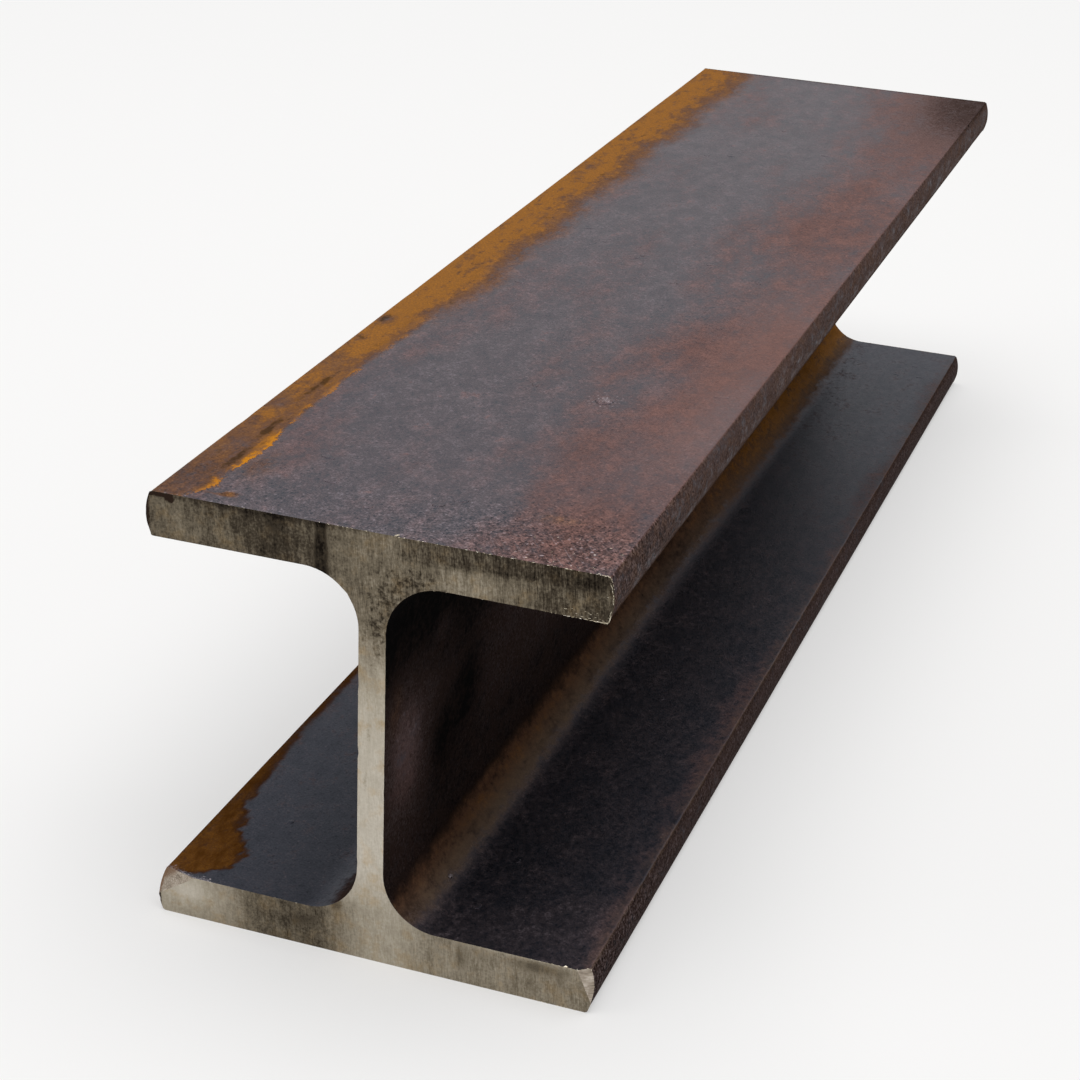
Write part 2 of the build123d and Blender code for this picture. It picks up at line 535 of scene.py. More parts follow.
def sawnZones(x, y, z):
    # bright where the blade cut clean, dark where scale and oil were dragged over
    near = y < 0
    x = np.where(near, x, -x - sawnMarks["farShift"])  # the far end gets the same marks turned round
    bare = np.interp(z, *sawnTone["web"])
    bare += (np.interp(x, *sawnTone["top"]) - bare) * fade(z, 82, 92)
    bare += (np.interp(x, *sawnTone["bottom"]) - bare) * fade(-z, -18, -9)
    lower = fade(95.2 + 0.03 * x - z, -0.4, 1.0)  # paler lower half right of the web
    bare += (z > 85) * 0.15 * lower * fade(x, 8, 18) * fade(-x, -37, -22)
    bare -= (z > 85) * 0.09 * (1 - lower) * fade(x, 3, 7)
    bare -= 0.12 * fade(z, 98.4, 99.7) * fade(-x, -2, 8)  # painted shade: a dark line under the top edge, as on a rounded rim
    bare += near * 0.12 * fade(z, 9.2, 9.8) * (z < 10.5) * fade(x, 18, 26)  # upper rim rubbed bright
    bare += blots(x, z, sawnMarks["rubbed"]) + near * blots(x, z, sawnMarks["ground"])
    bar = sawnMarks["bar"]
    barWidth = bar["width"] + bar["flare"] * fade(-z, -98, -91)
    stain = near * (z > 88) * bar["amount"] * np.exp(-((x - bar["place"]) / barWidth) ** 2)
    crusted = 0.7 * fade(-x, 48.2, 49.6) * (z > 85) + near * 0.7 * fade(-x, 48.7, 49.6) * (z < 9)
    return {
        "bare": bare,
        "stain": stain + blots(x, z, sawnMarks["stain"]),
        "speckle": blots(x, z, sawnMarks["speckle"]),
        "strokes": 0.5 + 0.5 * fade(x, -16, 6),  # blade lines show least on the left
        "crusted": crusted + blots(x, z, sawnMarks["crusted"]),  # scale folded over the rim
    }


def wearZones(x, y, z, face):
    top, tip = face["top"], face["tip"]
    # wear along the top's front edge and at the scraped corner, and a painted highlight on the blister and
    # bead
    worn = top * (blots(x, y, wearMarks["top"]) + 0.14 * fade(-y, 197, 200))
    worn += (z < 13) * blots(x, y, wearMarks["beadHighlight"])
    left = groundCorners[1]
    reach = np.clip((-x - section["flangeWidth"] / 2) / left["in"] + 1, 0, 1)
    groundRim = left["back"] * reach - section["length"] / 2 + 0.2  # back edge of the left ground corner
    # painted highlight: a pale line along the back edge of the left ground corner
    worn += face["shelf"] * 0.46 * np.exp(-((y - groundRim) / 1.3) ** 2) * fade(-x, 33, 39)
    crazed = top * (blots(x, y, wearMarks["crazed"]) + 0.25 * fade(-y, 165, 198))
    crazed += tip * (0.2 + 0.8 * fade(-y, 130, 190))
    specks = top * (blots(x, y, wearMarks["specks"]) + 0.02 * fade(-y, 190, 199) * fade(x, -5, 30))
    specks += (y < -199) * blots(x, z, wearMarks["rimSpecks"])
    # raised burr along the sawn rim
    burr = 0.06 + 0.75 * fade(x, 36, 42) * (z > 85) * (z < 92) + 0.2 * fade(x, 47.5, 49) * (z > 85)
    burr += (0.3 * fade(x, -14, -6) + 0.1 * fade(x, 28, 42)) * (z > 98) + 0.3 * fade(x, 30, 42) * (z < 12)
    burr = np.where(y < 0, burr, 0.2)
    outer = np.maximum(tip, top + face["sole"])
    return {"worn": worn, "crazed": crazed, "specks": specks, "burr": burr, "outer": outer}


def paintZones(mesh):
    x, y, z, face = readFaces(mesh)
    zones = {**rustZones(x, y, z, face), **scaleZones(x, y, z, face)}
    zones.update(sawnZones(x, y, z))
    zones.update(wearZones(x, y, z, face))
    for name, values in zones.items():
        if name not in mesh.attributes:
            mesh.attributes.new(name, "FLOAT", "POINT")
        mesh.attributes[name].data.foreach_set("value", np.clip(values, 0, 1).astype(np.float32))


paintZones(mesh)
print("zones painted")


def startMaterial(name, zones=()):
    # empty tree, the Object coordinates in millimetres and the painted zones that the finish reads
    material = bpy.data.materials.new(name)
    material.use_nodes = True
    tree = material.node_tree
    tree.nodes.clear()
    spot = addNode(tree, "ShaderNodeTexCoord", out=3)
    place = addNode(tree, "ShaderNodeVectorMath", {"operation": "SCALE"}, {0: spot, "Scale": 1 / mm})
    field = {}
    for zone in zones:
        field[zone] = addNode(tree, "ShaderNodeAttribute", {"attribute_name": zone}, out=2)
    return material, tree, place, field


def closeMaterial(material, tree, sockets):
    shader = addNode(tree, "ShaderNodeBsdfPrincipled", {}, sockets)
    addNode(tree, "ShaderNodeOutputMaterial", {}, {0: shader})
    return material


def stir(tree, field, shares, base=0.0):
    # adds its share of each zone or noise to a base
    for name, share in shares.items():
        base = addNode(tree, "ShaderNodeMath", timesPlus, {0: field[name], 1: share, 2: base})
    return base


def spans(ranges):
    # sockets for ranges given as start, end and the values there
    return {name: {1: start, 2: end, 3: first, 4: last} for name, (start, end, first, last) in ranges.items()}


askew = (0.5, 0.4, 0.8)  # radians; keeps the grid of a noise off the flat faces
millScale = {
    "noises": {  # grain size in millimetres, detail and roughness
        "cloud": ((15.0, 42.0, 15.0), 4.0, 0.55),  # drawn out along the beam by the rolls
        "mottle": ((4.6, 7.0, 4.6), 5.0, 0.6),
        "grain": ((1.3, 1.6, 1.3), 4.0, 0.65),
        "grit": ((0.45, 0.45, 0.45), 2.0, 0.6),
        "rustBlotch": ((2.6, 6.5, 2.6), 4.0, 0.6),
    },
    "pepper": 0.85,
    "pepperShake": (1.4, 0.9),  # waves per millimetre, millimetres
    "pepperDark": 0.62,  # share of the specks that are darker than the scale
    "scratch": (0.3, 9.0, 0.3),  # the real ones are near 0.1 wide and would not show
    "scratchTurn": -0.6,  # radians
    "relief": 0.05,
    "crustRelief": 0.14,
    "tone": 0.52,
    "crazedTone": 0.6,
    "sheenShare": 0.3,
    "heat": 0.3,
    "dustShare": 0.75,
    "gapShare": 0.5,
    "bloomDull": 0.5,
    "metallic": 0.92,
    "roughness": 0.48,
    "specular": 0.02,
    "shares": {  # of each zone and noise in what they make up
        "tone": {"deep": -0.25, "grain": 0.26, "grit": 0.26, "mottle": 0.25, "pepper": 0.18},
        "harsh": {"grit": 1.0, "pepper": 1.0, "grain": 1.0},
        "bloom": {"cloud": 1.0, "mottle": 0.75, "grain": 0.4, "grit": 0.1},
        "smudge": {"grain": 0.5, "deep": -0.8},
        "soot": {"mottle": 0.5, "grain": 0.55},
        "rust": {"rustBlotch": 1.6, "grain": 1.2, "mottle": 1.0},
        "inside": {"mottle": 5.0, "grain": 3.0, "grit": 1.5},  # millimetres
        "broken": {"mottle": 0.8},
        "heat": {"grit": 0.6, "crust": 0.2, "line": 0.35},
        "shadedRust": {"rustBlotch": 0.6},
        "fallen": {"mottle": 2.2, "grain": 1.2, "rustBlotch": 1.5},
        "crack": {"grain": 0.3},
        "worn": {"grit": 0.9},
        "height": {"grit": 0.3},
        "metallic": {"dull": -0.92},
        "roughness": {"dull": 0.42, "grain": 0.3},
    },
    "ranges": {  # start, end and the values there
        "pepper": (0.15, 0.55, 1.0, 0.0),
        "bloom": (0.1, 0.95, 0.0, 1.0),
        "smudge": (0.1, 0.3, 0.0, 0.6),
        "burnt": (0.08, 0.52, 0.0, 1.0),
        "black": (0.45, 1.0, 0.0, 1.0),
        "stain": (0.03, 0.36, 0.0, 0.95),
        "crust": (0.24, 0.72, 0.0, 0.9),
        "lineStart": (-0.5, 0.3, 0.0, 1.0),  # millimetres inside the edge of the rust
        "lineEnd": (0.5, 2.2, 1.0, 0.0),
        "lineShown": (-0.16, 0.10, 0.0, 1.0),
        "gapStart": (1.4, 2.4, 0.0, 1.0),
        "gapEnd": (2.8, 5.0, 1.0, 0.0),
        "gapShown": (0.02, 0.22, 0.0, 1.0),
        "shadedRust": (0.35, 0.72, 0.0, 0.88),
        "spots": (0.18, 0.36, 0.0, 0.6),
        "fallen": (0.3, 0.95, 0.0, 0.8),
        "fallenZone": (0.1, 0.5, 0.0, 1.0),
        "crack": (0.0, 0.03, 0.6, 0.0),
        "scratch": (0.6, 0.74, 0.0, 1.0),
        "fleck": (0.12, 0.22, 0.0, 2.4),
        "worn": (0.32, 0.7, 0.0, 0.8),
    },
    "ramps": {  # from dark to light
        "oxide": [(0.22, "#191D26"), (0.38, "#32343D"), (0.52, "#4D464B"), (0.64, "#6A636A"),
                  (0.8, "#928C94")],
        "bloom": [(0.3, "#392826"), (0.5, "#604743"), (0.7, "#84625B")],
        "burnt": [(0.3, "#15100F"), (0.5, "#3C2E2A"), (0.7, "#726465")],
        "brown": [(0.34, "#513A2C"), (0.52, "#6D4E3B"), (0.7, "#8B6847")],
        "orange": [(0.3, "#7A532E"), (0.5, "#95632A"), (0.8, "#C6801B")],
    },
    "shades": {
        # pale pinkish sheen painted on the right side of the top
        "haze": "#7A5B54",
        # black of deep soot and painted shade
        "charAndShade": "#050404",
        "drab": "#7A6A5A",
        # rust colour painted darker where shade is painted
        "shadedRust": "#452500",
        "fallen": "#352617",
        "dirt": "#2A1B17",
        # pale metal of wear, also used for painted highlights
        "pale": "#A8A0A6",
    },
}


def rolledScale():
    # Mill scale from hot rolling: a thin blue-grey oxide with a dull metallic sheen, peppered with fine pits.
    # Red-brown bloom lies on it in clouds, and orange rust grows where it has lifted along edges and roots.
    # Shade in the channels and on the tips, a sheen on the right of the top and highlights on the blister and
    # bead are painted into its colour too.
    material, tree, place, field = startMaterial("hotRolledMillScale", (
        "rust", "streak", "rustEdge", "fallen", "dusty", "haze", "bloom", "soot", "deep", "worn", "crazed"))
    share, span = millScale["shares"], spans(millScale["ranges"])
    shade = {name: linearColor(code) for name, code in millScale["shades"].items()}
    for name, (size, detail, gain) in millScale["noises"].items():
        drawn = addNode(tree, "ShaderNodeVectorMath", over, {0: place, 1: size})
        drawn = addNode(tree, "ShaderNodeVectorRotate", euler, {"Vector": drawn, "Rotation": askew})
        noise = addNode(tree, "ShaderNodeTexNoise", {}, {
            "Vector": drawn, "Scale": 1.0, "Detail": detail, "Roughness": gain})
        field[name] = addNode(tree, "ShaderNodeMath", minus, {0: noise, 1: 0.5})

    # pepper: small round pits and specks, most darker than the scale around them, some paler
    rate, reach = millScale["pepperShake"]
    shaken = addNode(tree, "ShaderNodeTexNoise", {}, {"Vector": place, "Scale": rate, "Detail": 1.0}, out=1)
    shaken = addNode(tree, "ShaderNodeVectorMath", timesPlus, {0: shaken, 1: (reach,) * 3, 2: place})
    cell = addNode(tree, "ShaderNodeTexVoronoi", {}, {"Vector": shaken, "Scale": 1 / millScale["pepper"]})
    dot = addNode(tree, "ShaderNodeMapRange", {}, {"Value": cell, **span["pepper"]})
    lot = addNode(tree, "ShaderNodeSeparateColor", {}, {0: cell.node.outputs[1]})
    lot = addNode(tree, "ShaderNodeMath", minus, {0: lot, 1: millScale["pepperDark"]})
    field["pepper"] = addNode(tree, "ShaderNodeMath", times, {0: dot, 1: lot})

    # tone of every layer, with rougher contrast where the scale is crazed
    tone = stir(tree, field, share["tone"], millScale["tone"])
    harsh = stir(tree, field, share["harsh"])
    harsh = addNode(tree, "ShaderNodeMath", times, {0: harsh, 1: field["crazed"]})
    tone = addNode(tree, "ShaderNodeMath", timesPlus, {0: harsh, 1: millScale["crazedTone"], 2: tone})
    ramp = {}
    for name in ("oxide", "bloom", "burnt", "brown"):
        ramp[name] = addNode(tree, "ShaderNodeValToRGB", {"stops": millScale["ramps"][name]}, {"Fac": tone})

    # bloom: how far the red-brown film covers the oxide
    cover = stir(tree, field, share["bloom"], field["bloom"])
    cover = addNode(tree, "ShaderNodeMapRange", soft, {"Value": cover, **span["bloom"]})
    smudge = stir(tree, field, share["smudge"], field["mottle"])
    smudge = addNode(tree, "ShaderNodeMapRange", soft, {"Value": smudge, **span["smudge"]})
    cover = addNode(tree, "ShaderNodeMath", larger, {0: cover, 1: smudge})
    # painted sheen over the right side of the top
    haze = addNode(tree, "ShaderNodeMath", times, {0: field["haze"], 1: millScale["sheenShare"]})

    # soot and painted shade: a dull burnt brown in the channels and on the flange tips, painted black where
    # the shade is deepest
    sootyShade = stir(tree, field, share["soot"], field["soot"])
    dark = addNode(tree, "ShaderNodeMapRange", soft, {"Value": sootyShade, **span["burnt"]})
    black = addNode(tree, "ShaderNodeMapRange", soft, {"Value": sootyShade, **span["black"]})

    # rust: a soft brown stain first, then orange crust in blotches drawn out along the beam
    patchy = stir(tree, field, share["rust"], 1.0)
    grown = addNode(tree, "ShaderNodeMath", times, {0: field["rust"], 1: patchy})
    # its inner edge on the top flange is a thin broken line of bright crust with dark gaps behind
    edge = topRust["edgeSpan"]
    inside = addNode(tree, "ShaderNodeMath", timesPlus, {0: field["rustEdge"], 1: edge, 2: -edge / 2})
    inside = stir(tree, field, share["inside"], inside)
    broken = stir(tree, field, share["broken"], field["rustBlotch"])
    for name in ("line", "gap"):
        band = addNode(tree, "ShaderNodeMapRange", soft, {"Value": inside, **span[name + "Start"]})
        tail = addNode(tree, "ShaderNodeMapRange", soft, {"Value": inside, **span[name + "End"]})
        band = addNode(tree, "ShaderNodeMath", times, {0: band, 1: tail})
        shown = addNode(tree, "ShaderNodeMapRange", soft, {"Value": broken, **span[name + "Shown"]})
        shown = addNode(tree, "ShaderNodeMath", times, {0: shown, 1: field["streak"]})
        field[name] = addNode(tree, "ShaderNodeMath", times, {0: band, 1: shown})
    stain = addNode(tree, "ShaderNodeMapRange", soft, {"Value": grown, **span["stain"]})
    stain = addNode(tree, "ShaderNodeMath", larger, {0: stain, 1: field["line"]})
    crust = addNode(tree, "ShaderNodeMapRange", soft, {"Value": grown, **span["crust"]})
    crust = addNode(tree, "ShaderNodeMath", {**larger, "use_clamp": True}, {0: crust, 1: field["line"]})
    field["crust"] = crust
    heat = stir(tree, field, share["heat"], millScale["heat"])
    orange = addNode(tree, "ShaderNodeValToRGB", {"stops": millScale["ramps"]["orange"]}, {"Fac": heat})
    dust = addNode(tree, "ShaderNodeMath", times, {0: field["dusty"], 1: millScale["dustShare"]})
    # rust painted darker umber where shade is painted in the channels
    shaded = stir(tree, field, share["shadedRust"], field["deep"])
    shaded = addNode(tree, "ShaderNodeMapRange", {}, {"Value": shaded, **span["shadedRust"]})
    brown = ramp["brown"]
    for amount, coat in ((crust, orange), (dust, shade["drab"]), (shaded, shade["shadedRust"])):
        brown = addNode(tree, "ShaderNodeMix", layer, {"Factor": amount, 6: brown, 7: coat}, out=2)
    # dark spots where the crust has fallen out
    spot = addNode(tree, "ShaderNodeMath", minus, {0: field["mottle"], 1: field["rustBlotch"]})
    spot = addNode(tree, "ShaderNodeMapRange", soft, {"Value": spot, **span["spots"]})
    spot = addNode(tree, "ShaderNodeMath", times, {0: spot, 1: stain})
    spot = addNode(tree, "ShaderNodeMath", timesPlus, {0: field["gap"], 1: millScale["gapShare"], 2: spot})
    bared = stir(tree, field, share["fallen"], field["fallen"])
    bared = addNode(tree, "ShaderNodeMapRange", soft, {"Value": bared, **span["fallen"]})
    near = addNode(tree, "ShaderNodeMapRange", {}, {"Value": field["fallen"], **span["fallenZone"]})
    bared = addNode(tree, "ShaderNodeMath", times, {0: bared, 1: near})
    spot = addNode(tree, "ShaderNodeMath", {**larger, "use_clamp": True}, {0: spot, 1: bared})

    # cracks in the crazed scale
    crack = stir(tree, field, share["crack"], field["mottle"])
    crack = addNode(tree, "ShaderNodeMath", {"operation": "ABSOLUTE"}, {0: crack})
    crack = addNode(tree, "ShaderNodeMapRange", {}, {"Value": crack, **span["crack"]})
    crack = addNode(tree, "ShaderNodeMath", times, {0: crack, 1: field["crazed"]})

    # wear and painted highlight: pale metal on edges, a painted highlight on the blister and the bead, and
    # fine scratches at the scraped corner
    turned = {"Vector": place, "Angle": millScale["scratchTurn"]}
    drawn = addNode(tree, "ShaderNodeVectorRotate", {"rotation_type": "Z_AXIS"}, turned)
    drawn = addNode(tree, "ShaderNodeVectorMath", over, {0: drawn, 1: millScale["scratch"]})
    scratch = addNode(tree, "ShaderNodeTexNoise", {}, {"Vector": drawn, "Scale": 1.0, "Detail": 1.0})
    scratch = addNode(tree, "ShaderNodeMapRange", {}, {"Value": scratch, **span["scratch"]})
    fleck = addNode(tree, "ShaderNodeMapRange", {}, {"Value": field["pepper"], **span["fleck"]})
    scratch = addNode(tree, "ShaderNodeMath", larger, {0: scratch, 1: fleck})
    scratch = addNode(tree, "ShaderNodeMath", {**times, "use_clamp": True}, {0: scratch, 1: field["worn"]})
    worn = stir(tree, field, share["worn"], field["worn"])
    worn = addNode(tree, "ShaderNodeMapRange", {}, {"Value": worn, **span["worn"]})
    worn = addNode(tree, "ShaderNodeMath", larger, {0: worn, 1: scratch})

    color = ramp["oxide"]
    for amount, coat in (
        (cover, ramp["bloom"]),
        (haze, shade["haze"]),
        (dark, ramp["burnt"]),
        (black, shade["charAndShade"]),
        (stain, brown),
        (spot, shade["fallen"]),
        (crack, shade["dirt"]),
        (worn, shade["pale"]),
    ):
        color = addNode(tree, "ShaderNodeMix", layer, {"Factor": amount, 6: color, 7: coat}, out=2)

    # bloom, soot with its painted shade, and rust take the sheen off
    field["dull"] = addNode(tree, "ShaderNodeMath", times, {0: cover, 1: millScale["bloomDull"]})
    for film in (dark, stain):
        field["dull"] = addNode(tree, "ShaderNodeMath", larger, {0: field["dull"], 1: film})
    height = stir(tree, field, share["height"], tone)
    height = addNode(tree, "ShaderNodeMath", minus, {0: height, 1: crack})
    bump = addNode(tree, "ShaderNodeBump", {}, {"Height": height, "Distance": millScale["relief"] * mm})
    raised = {"Height": crust, "Distance": millScale["crustRelief"] * mm, "Normal": bump}
    return closeMaterial(material, tree, {
        "Base Color": color,
        "Metallic": stir(tree, field, share["metallic"], millScale["metallic"]),
        "Roughness": stir(tree, field, share["roughness"], millScale["roughness"]),
        "Normal": addNode(tree, "ShaderNodeBump", {}, raised),
        "Specular IOR Level": millScale["specular"],
    })


sawCut = {
    "lines": {  # grain sizes in millimetres: across, through, up
        "fine": (0.24, 3.0, 2.4),  # blade lines; the real pitch near 0.2 would not show
        "coarse": (1.6, 3.0, 7.0),
        "drag": (16.0, 3.0, 2.8),  # smears drawn across the cut
    },
    "specks": {"grime": 4.0, "grain": 0.6, "scribble": 1.4},  # grain sizes in millimetres
    "noise": {"Scale": 1.0, "Detail": 4.0, "Roughness": 0.65},
    "lean": 5.0,  # degrees that the lines lean
    "relief": 0.05,
    "metallic": 0.85,
    "roughness": 0.58,
    "specular": 0.1,
    "shares": {
        "uneven": {"fine": 0.55, "coarse": 0.34, "drag": 0.14, "grime": 0.36, "grain": 0.48},
        "smear": {"coarse": 0.35, "grain": 0.35, "fine": 0.3},
        "scribble": {"scribble": 1.3},
        "rim": {"grain": 1.2},
        "metallic": {"rim": -0.7},
        "roughness": {"tone": -0.15},
    },
    "ranges": {  # start, end and the values there
        "calm": (0.25, 0.8, 1.2, 0.5),  # bright metal is the evenest
        "smear": (0.1, 0.24, 0.0, 0.24),
        "scribble": (0.26, 0.52, 0.0, 0.28),
        "warm": (0.0, 0.25, 0.0, 0.7),
        "rim": (0.35, 0.65, 0.0, 1.0),
    },
    "metal": [(0.0, "#17120D"), (0.22, "#473F34"), (0.45, "#7F7564"), (0.7, "#AEA594"), (1.0, "#DAD3C6")],
    "tea": "#E0C79C",  # tint of the grime
    "folded": "#33241A",  # scale folded over the rim
}


def sawnEnd():
    # Cold-sawn steel: warm grey bare metal in fine near-vertical blade lines,
    # dulled by oil, grime and dragged scale
    zones = ("bare", "stain", "speckle", "strokes", "crusted")
    material, tree, place, field = startMaterial("sawnBareSteel", zones)
    share, span = sawCut["shares"], spans(sawCut["ranges"])
    lean = {"Vector": place, "Angle": math.radians(sawCut["lean"])}
    lean = addNode(tree, "ShaderNodeVectorRotate", {"rotation_type": "Y_AXIS"}, lean)
    tilted = addNode(tree, "ShaderNodeVectorRotate", euler, {"Vector": place, "Rotation": askew})
    drawn = {}
    for name, size in sawCut["lines"].items():
        drawn[name] = addNode(tree, "ShaderNodeVectorMath", over, {0: lean, 1: size})
    for name, size in sawCut["specks"].items():
        drawn[name] = addNode(tree, "ShaderNodeVectorMath", over, {0: tilted, 1: (size,) * 3})
    for name, spread in drawn.items():
        noise = addNode(tree, "ShaderNodeTexNoise", {}, {"Vector": spread, **sawCut["noise"]})
        field[name] = addNode(tree, "ShaderNodeMath", minus, {0: noise, 1: 0.5})

    field["fine"] = addNode(tree, "ShaderNodeMath", times, {0: field["fine"], 1: field["strokes"]})
    uneven = stir(tree, field, share["uneven"])
    calm = addNode(tree, "ShaderNodeMapRange", {}, {"Value": field["bare"], **span["calm"]})
    tone = addNode(tree, "ShaderNodeMath", timesPlus, {0: uneven, 1: calm, 2: field["bare"]})
    # smears of oil and scale with crisp, broken outlines
    smear = stir(tree, field, share["smear"], field["stain"])
    smear = addNode(tree, "ShaderNodeMapRange", soft, {"Value": smear, **span["smear"]})
    scribble = stir(tree, field, share["scribble"], field["speckle"])
    scribble = addNode(tree, "ShaderNodeMapRange", {}, {"Value": scribble, **span["scribble"]})
    for dirt in (smear, scribble):
        tone = addNode(tree, "ShaderNodeMath", minus, {0: tone, 1: dirt})
    field["tone"] = tone
    color = addNode(tree, "ShaderNodeValToRGB", {"stops": sawCut["metal"]}, {"Fac": tone})
    warm = addNode(tree, "ShaderNodeMapRange", {}, {"Value": field["grime"], **span["warm"]})
    warm = {"Factor": warm, 6: color, 7: linearColor(sawCut["tea"])}
    color = addNode(tree, "ShaderNodeMix", {**layer, "blend_type": "MULTIPLY"}, warm, out=2)
    rim = stir(tree, field, share["rim"], field["crusted"])
    field["rim"] = addNode(tree, "ShaderNodeMapRange", soft, {"Value": rim, **span["rim"]})
    rim = {"Factor": field["rim"], 6: color, 7: linearColor(sawCut["folded"])}
    lines = {"Height": field["fine"], "Distance": sawCut["relief"] * mm}
    return closeMaterial(material, tree, {
        "Base Color": addNode(tree, "ShaderNodeMix", layer, rim, out=2),
        "Metallic": stir(tree, field, share["metallic"], sawCut["metallic"]),
        "Roughness": stir(tree, field, share["roughness"], sawCut["roughness"]),
        "Normal": addNode(tree, "ShaderNodeBump", {}, lines),
        "Specular IOR Level": sawCut["specular"],
    })


grinding = {
    "scratch": (0.25, 2.5, 0.25),
    "scratchTurn": (0.6, 0.3, 0.9),  # radians
    "cloud": 2.0,
    "relief": 0.012,
    "metallic": 0.9,
    "roughness": 0.36,
    "shares": {"browned": {"cloud": 0.8}, "metallic": {"browned": -0.9}, "roughness": {"tone": 0.25}},
    "ranges": {"browned": (0.85, 1.3, 0.0, 0.8)},
    "metal": [(0.34, "#7E7264"), (0.5, "#A89C8E"), (0.66, "#D0C6BA")],
    "brown": "#7A5128",
}


def groundFacet():
    # Disc-ground steel: pale, softly scratched metal, already browning where it meets the rolled tip
    material, tree, place, field = startMaterial("discGroundSteel", ("rust",))
    share, span = grinding["shares"], spans(grinding["ranges"])
    turned = {"Vector": place, "Rotation": grinding["scratchTurn"]}
    turned = addNode(tree, "ShaderNodeVectorRotate", euler, turned)
    drawn = addNode(tree, "ShaderNodeVectorMath", over, {0: turned, 1: grinding["scratch"]})
    scratch = addNode(tree, "ShaderNodeTexNoise", {}, {"Vector": drawn, "Scale": 1.0, "Detail": 2.0})
    cloud = {"Vector": turned, "Scale": 1 / grinding["cloud"], "Detail": 3.0}
    field["cloud"] = addNode(tree, "ShaderNodeTexNoise", {}, cloud)
    field["tone"] = addNode(tree, "ShaderNodeMix", {}, {"Factor": 0.5, 2: scratch, 3: field["cloud"]})
    color = addNode(tree, "ShaderNodeValToRGB", {"stops": grinding["metal"]}, {"Fac": field["tone"]})
    browned = stir(tree, field, share["browned"], field["rust"])
    field["browned"] = addNode(tree, "ShaderNodeMapRange", soft, {"Value": browned, **span["browned"]})
    browned = {"Factor": field["browned"], 6: color, 7: linearColor(grinding["brown"])}
    lines = {"Height": scratch, "Distance": grinding["relief"] * mm}
    return closeMaterial(material, tree, {
        "Base Color": addNode(tree, "ShaderNodeMix", layer, browned, out=2),
        "Metallic": stir(tree, field, share["metallic"], grinding["metallic"]),
        "Roughness": stir(tree, field, share["roughness"], grinding["roughness"]),
        "Normal": addNode(tree, "ShaderNodeBump", {}, lines),
    })


tearing = {
    "streak": 0.8,
    "metal": [(0.35, "#948872"), (0.55, "#CBC1AC"), (0.7, "#EDE7DC")],
    "metallic": 0.95,
    "roughness": 0.2,
    "shares": {"roughness": {"streak": 0.3}},
}


def tornBurr():
    # Freshly torn steel: the bright, warm white glints of burrs and slivers left by the blade
    material, tree, place, field = startMaterial("tornBrightSteel")
    streak = {"Vector": place, "Scale": 1 / tearing["streak"], "Detail": 2.0}
    field["streak"] = addNode(tree, "ShaderNodeTexNoise", {}, streak)
    color = addNode(tree, "ShaderNodeValToRGB", {"stops": tearing["metal"]}, {"Fac": field["streak"]})
    return closeMaterial(material, tree, {
        "Base Color": color,
        "Metallic": tearing["metallic"],
        "Roughness": stir(tree, field, tearing["shares"]["roughness"], tearing["roughness"]),
    })


finishes = {"rolled": rolledScale(), "sawn": sawnEnd(), "ground": groundFacet(), "torn": tornBurr()}
print("materials:", ", ".join(m.name for m in finishes.values()))

relief = {
    "headroom": 0.14,  # the outer faces lie this far inside the box, room for blisters
    "wave": 0.10,
    "waveAcross": 17.0,
    "waveAlong": 70.0,
    "pit": 0.07,
    "pitAcross": 3.6,
    "pitAlong": 13.0,
    "pitRange": (0.56, 0.7),  # of the noise: where pits start, where they are deepest
    "saw": 0.06,  # depth of the sawn face below the box
    "ripple": 0.05,
    "ripplePitch": 2.4,
    "rippleThrough": 1000.0,
    "rippleUp": 20.0,
    "nick": 0.22,
    "nickSize": 2.2,
    "nickRange": (0.55, 0.72),
    "sharpAngle": 22.0,  # degrees; edges past it stay crisp
    "seed": 7,
}


